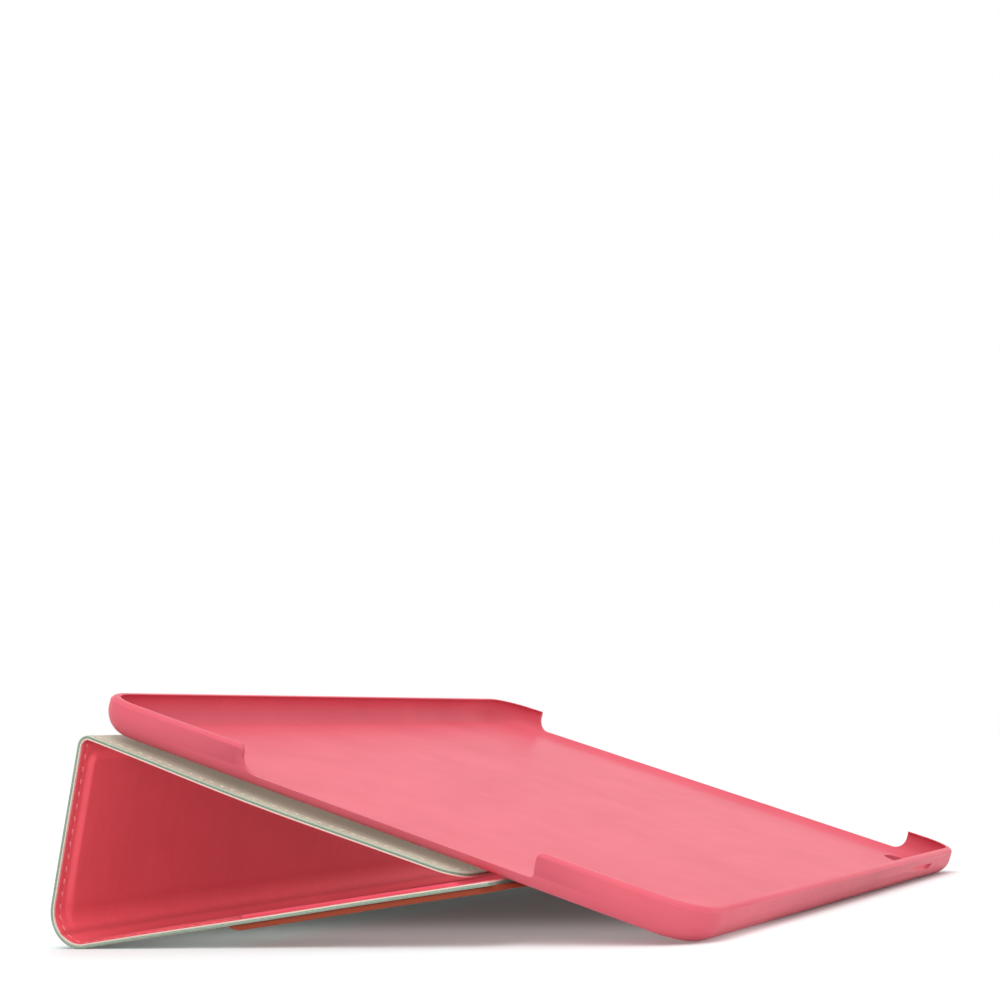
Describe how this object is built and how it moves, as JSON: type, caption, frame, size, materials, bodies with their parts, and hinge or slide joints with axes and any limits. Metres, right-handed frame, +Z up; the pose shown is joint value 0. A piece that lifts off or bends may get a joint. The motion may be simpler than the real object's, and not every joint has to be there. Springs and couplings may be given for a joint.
{
  "type": "tablet case",
  "caption": "Folio tablet case: a shallow moulded tray hinged to a folding cover that is folded into a three-sided tube and props the tray at a low typing angle.",
  "frame": {"origin": "middle of the bounding box at table height", "axes": "+Z up from the table, +X along the long side of the case, away from the charging port opening; +Y towards the raised side of the tray"},
  "size_m": [0.248, 0.176, 0.0642],
  "materials": {
    "shell": "satin moulded polycarbonate, coral",
    "skin": "fine-grained coated fabric, warm grey",
    "interliner": "pressed fleece, cream",
    "lining": "brushed microfibre, coral",
    "plate": "satin moulded plastic, coral",
    "board": "grey fibre board",
    "band": "smooth coated strip, rust brown",
    "thread": "twisted polyester thread",
    "tape": "double-sided film",
    "magnet": "nickel-plated"
  },
  "bodies": {
    "back_panel": {"hinge_band": "band", "back_skin": "skin", "back_interliner": "interliner", "back_board": "board", "back_lining": "lining", "stop_plate": "plate", "back_stitching": "thread"},
    "tray": {"shell": "shell", "anchor_tape": "tape", "anchor_strip": "band"},
    "spine": {"spine_skin": "skin", "spine_interliner": "interliner", "spine_lining": "lining", "spine_stitching": "thread"},
    "riser": {"riser_skin": "skin", "riser_interliner": "interliner", "riser_board": "board", "riser_lining": "lining", "riser_stitching": "thread"},
    "flap": {"flap_skin": "skin", "flap_interliner": "interliner", "flap_board": "board", "flap_lining": "lining", "flap_stitching": "thread", "flap_magnets": "magnet"}
  },
  "joints": [
    {"name": "tray_lift", "type": "hinge", "parent": "back_panel", "child": "tray", "pos_m": [0, -0.04004, 0.01361], "axis": [1, 0, 0], "range_deg": [0, 120]},
    {"name": "spine_fold", "type": "hinge", "parent": "back_panel", "child": "spine", "pos_m": [0, 0.07791, 0.00006], "axis": [-1, 0, 0], "range_deg": [0, 25]},
    {"name": "riser_fold", "type": "hinge", "parent": "spine", "child": "riser", "pos_m": [0, 0.08778, 0.01094], "axis": [-1, 0, 0], "range_deg": [0, 25]},
    {"name": "flap_fold", "type": "hinge", "parent": "riser", "child": "flap", "pos_m": [0, 0.07593, 0.05069], "axis": [-1, 0, 0], "range_deg": [-45, 0]}
  ],
  "couplings": [
    {"joint": "riser_fold", "follows": "spine_fold", "ratio": 1},
    {"joint": "flap_fold", "follows": "spine_fold", "ratio": -1.8}
  ]
}
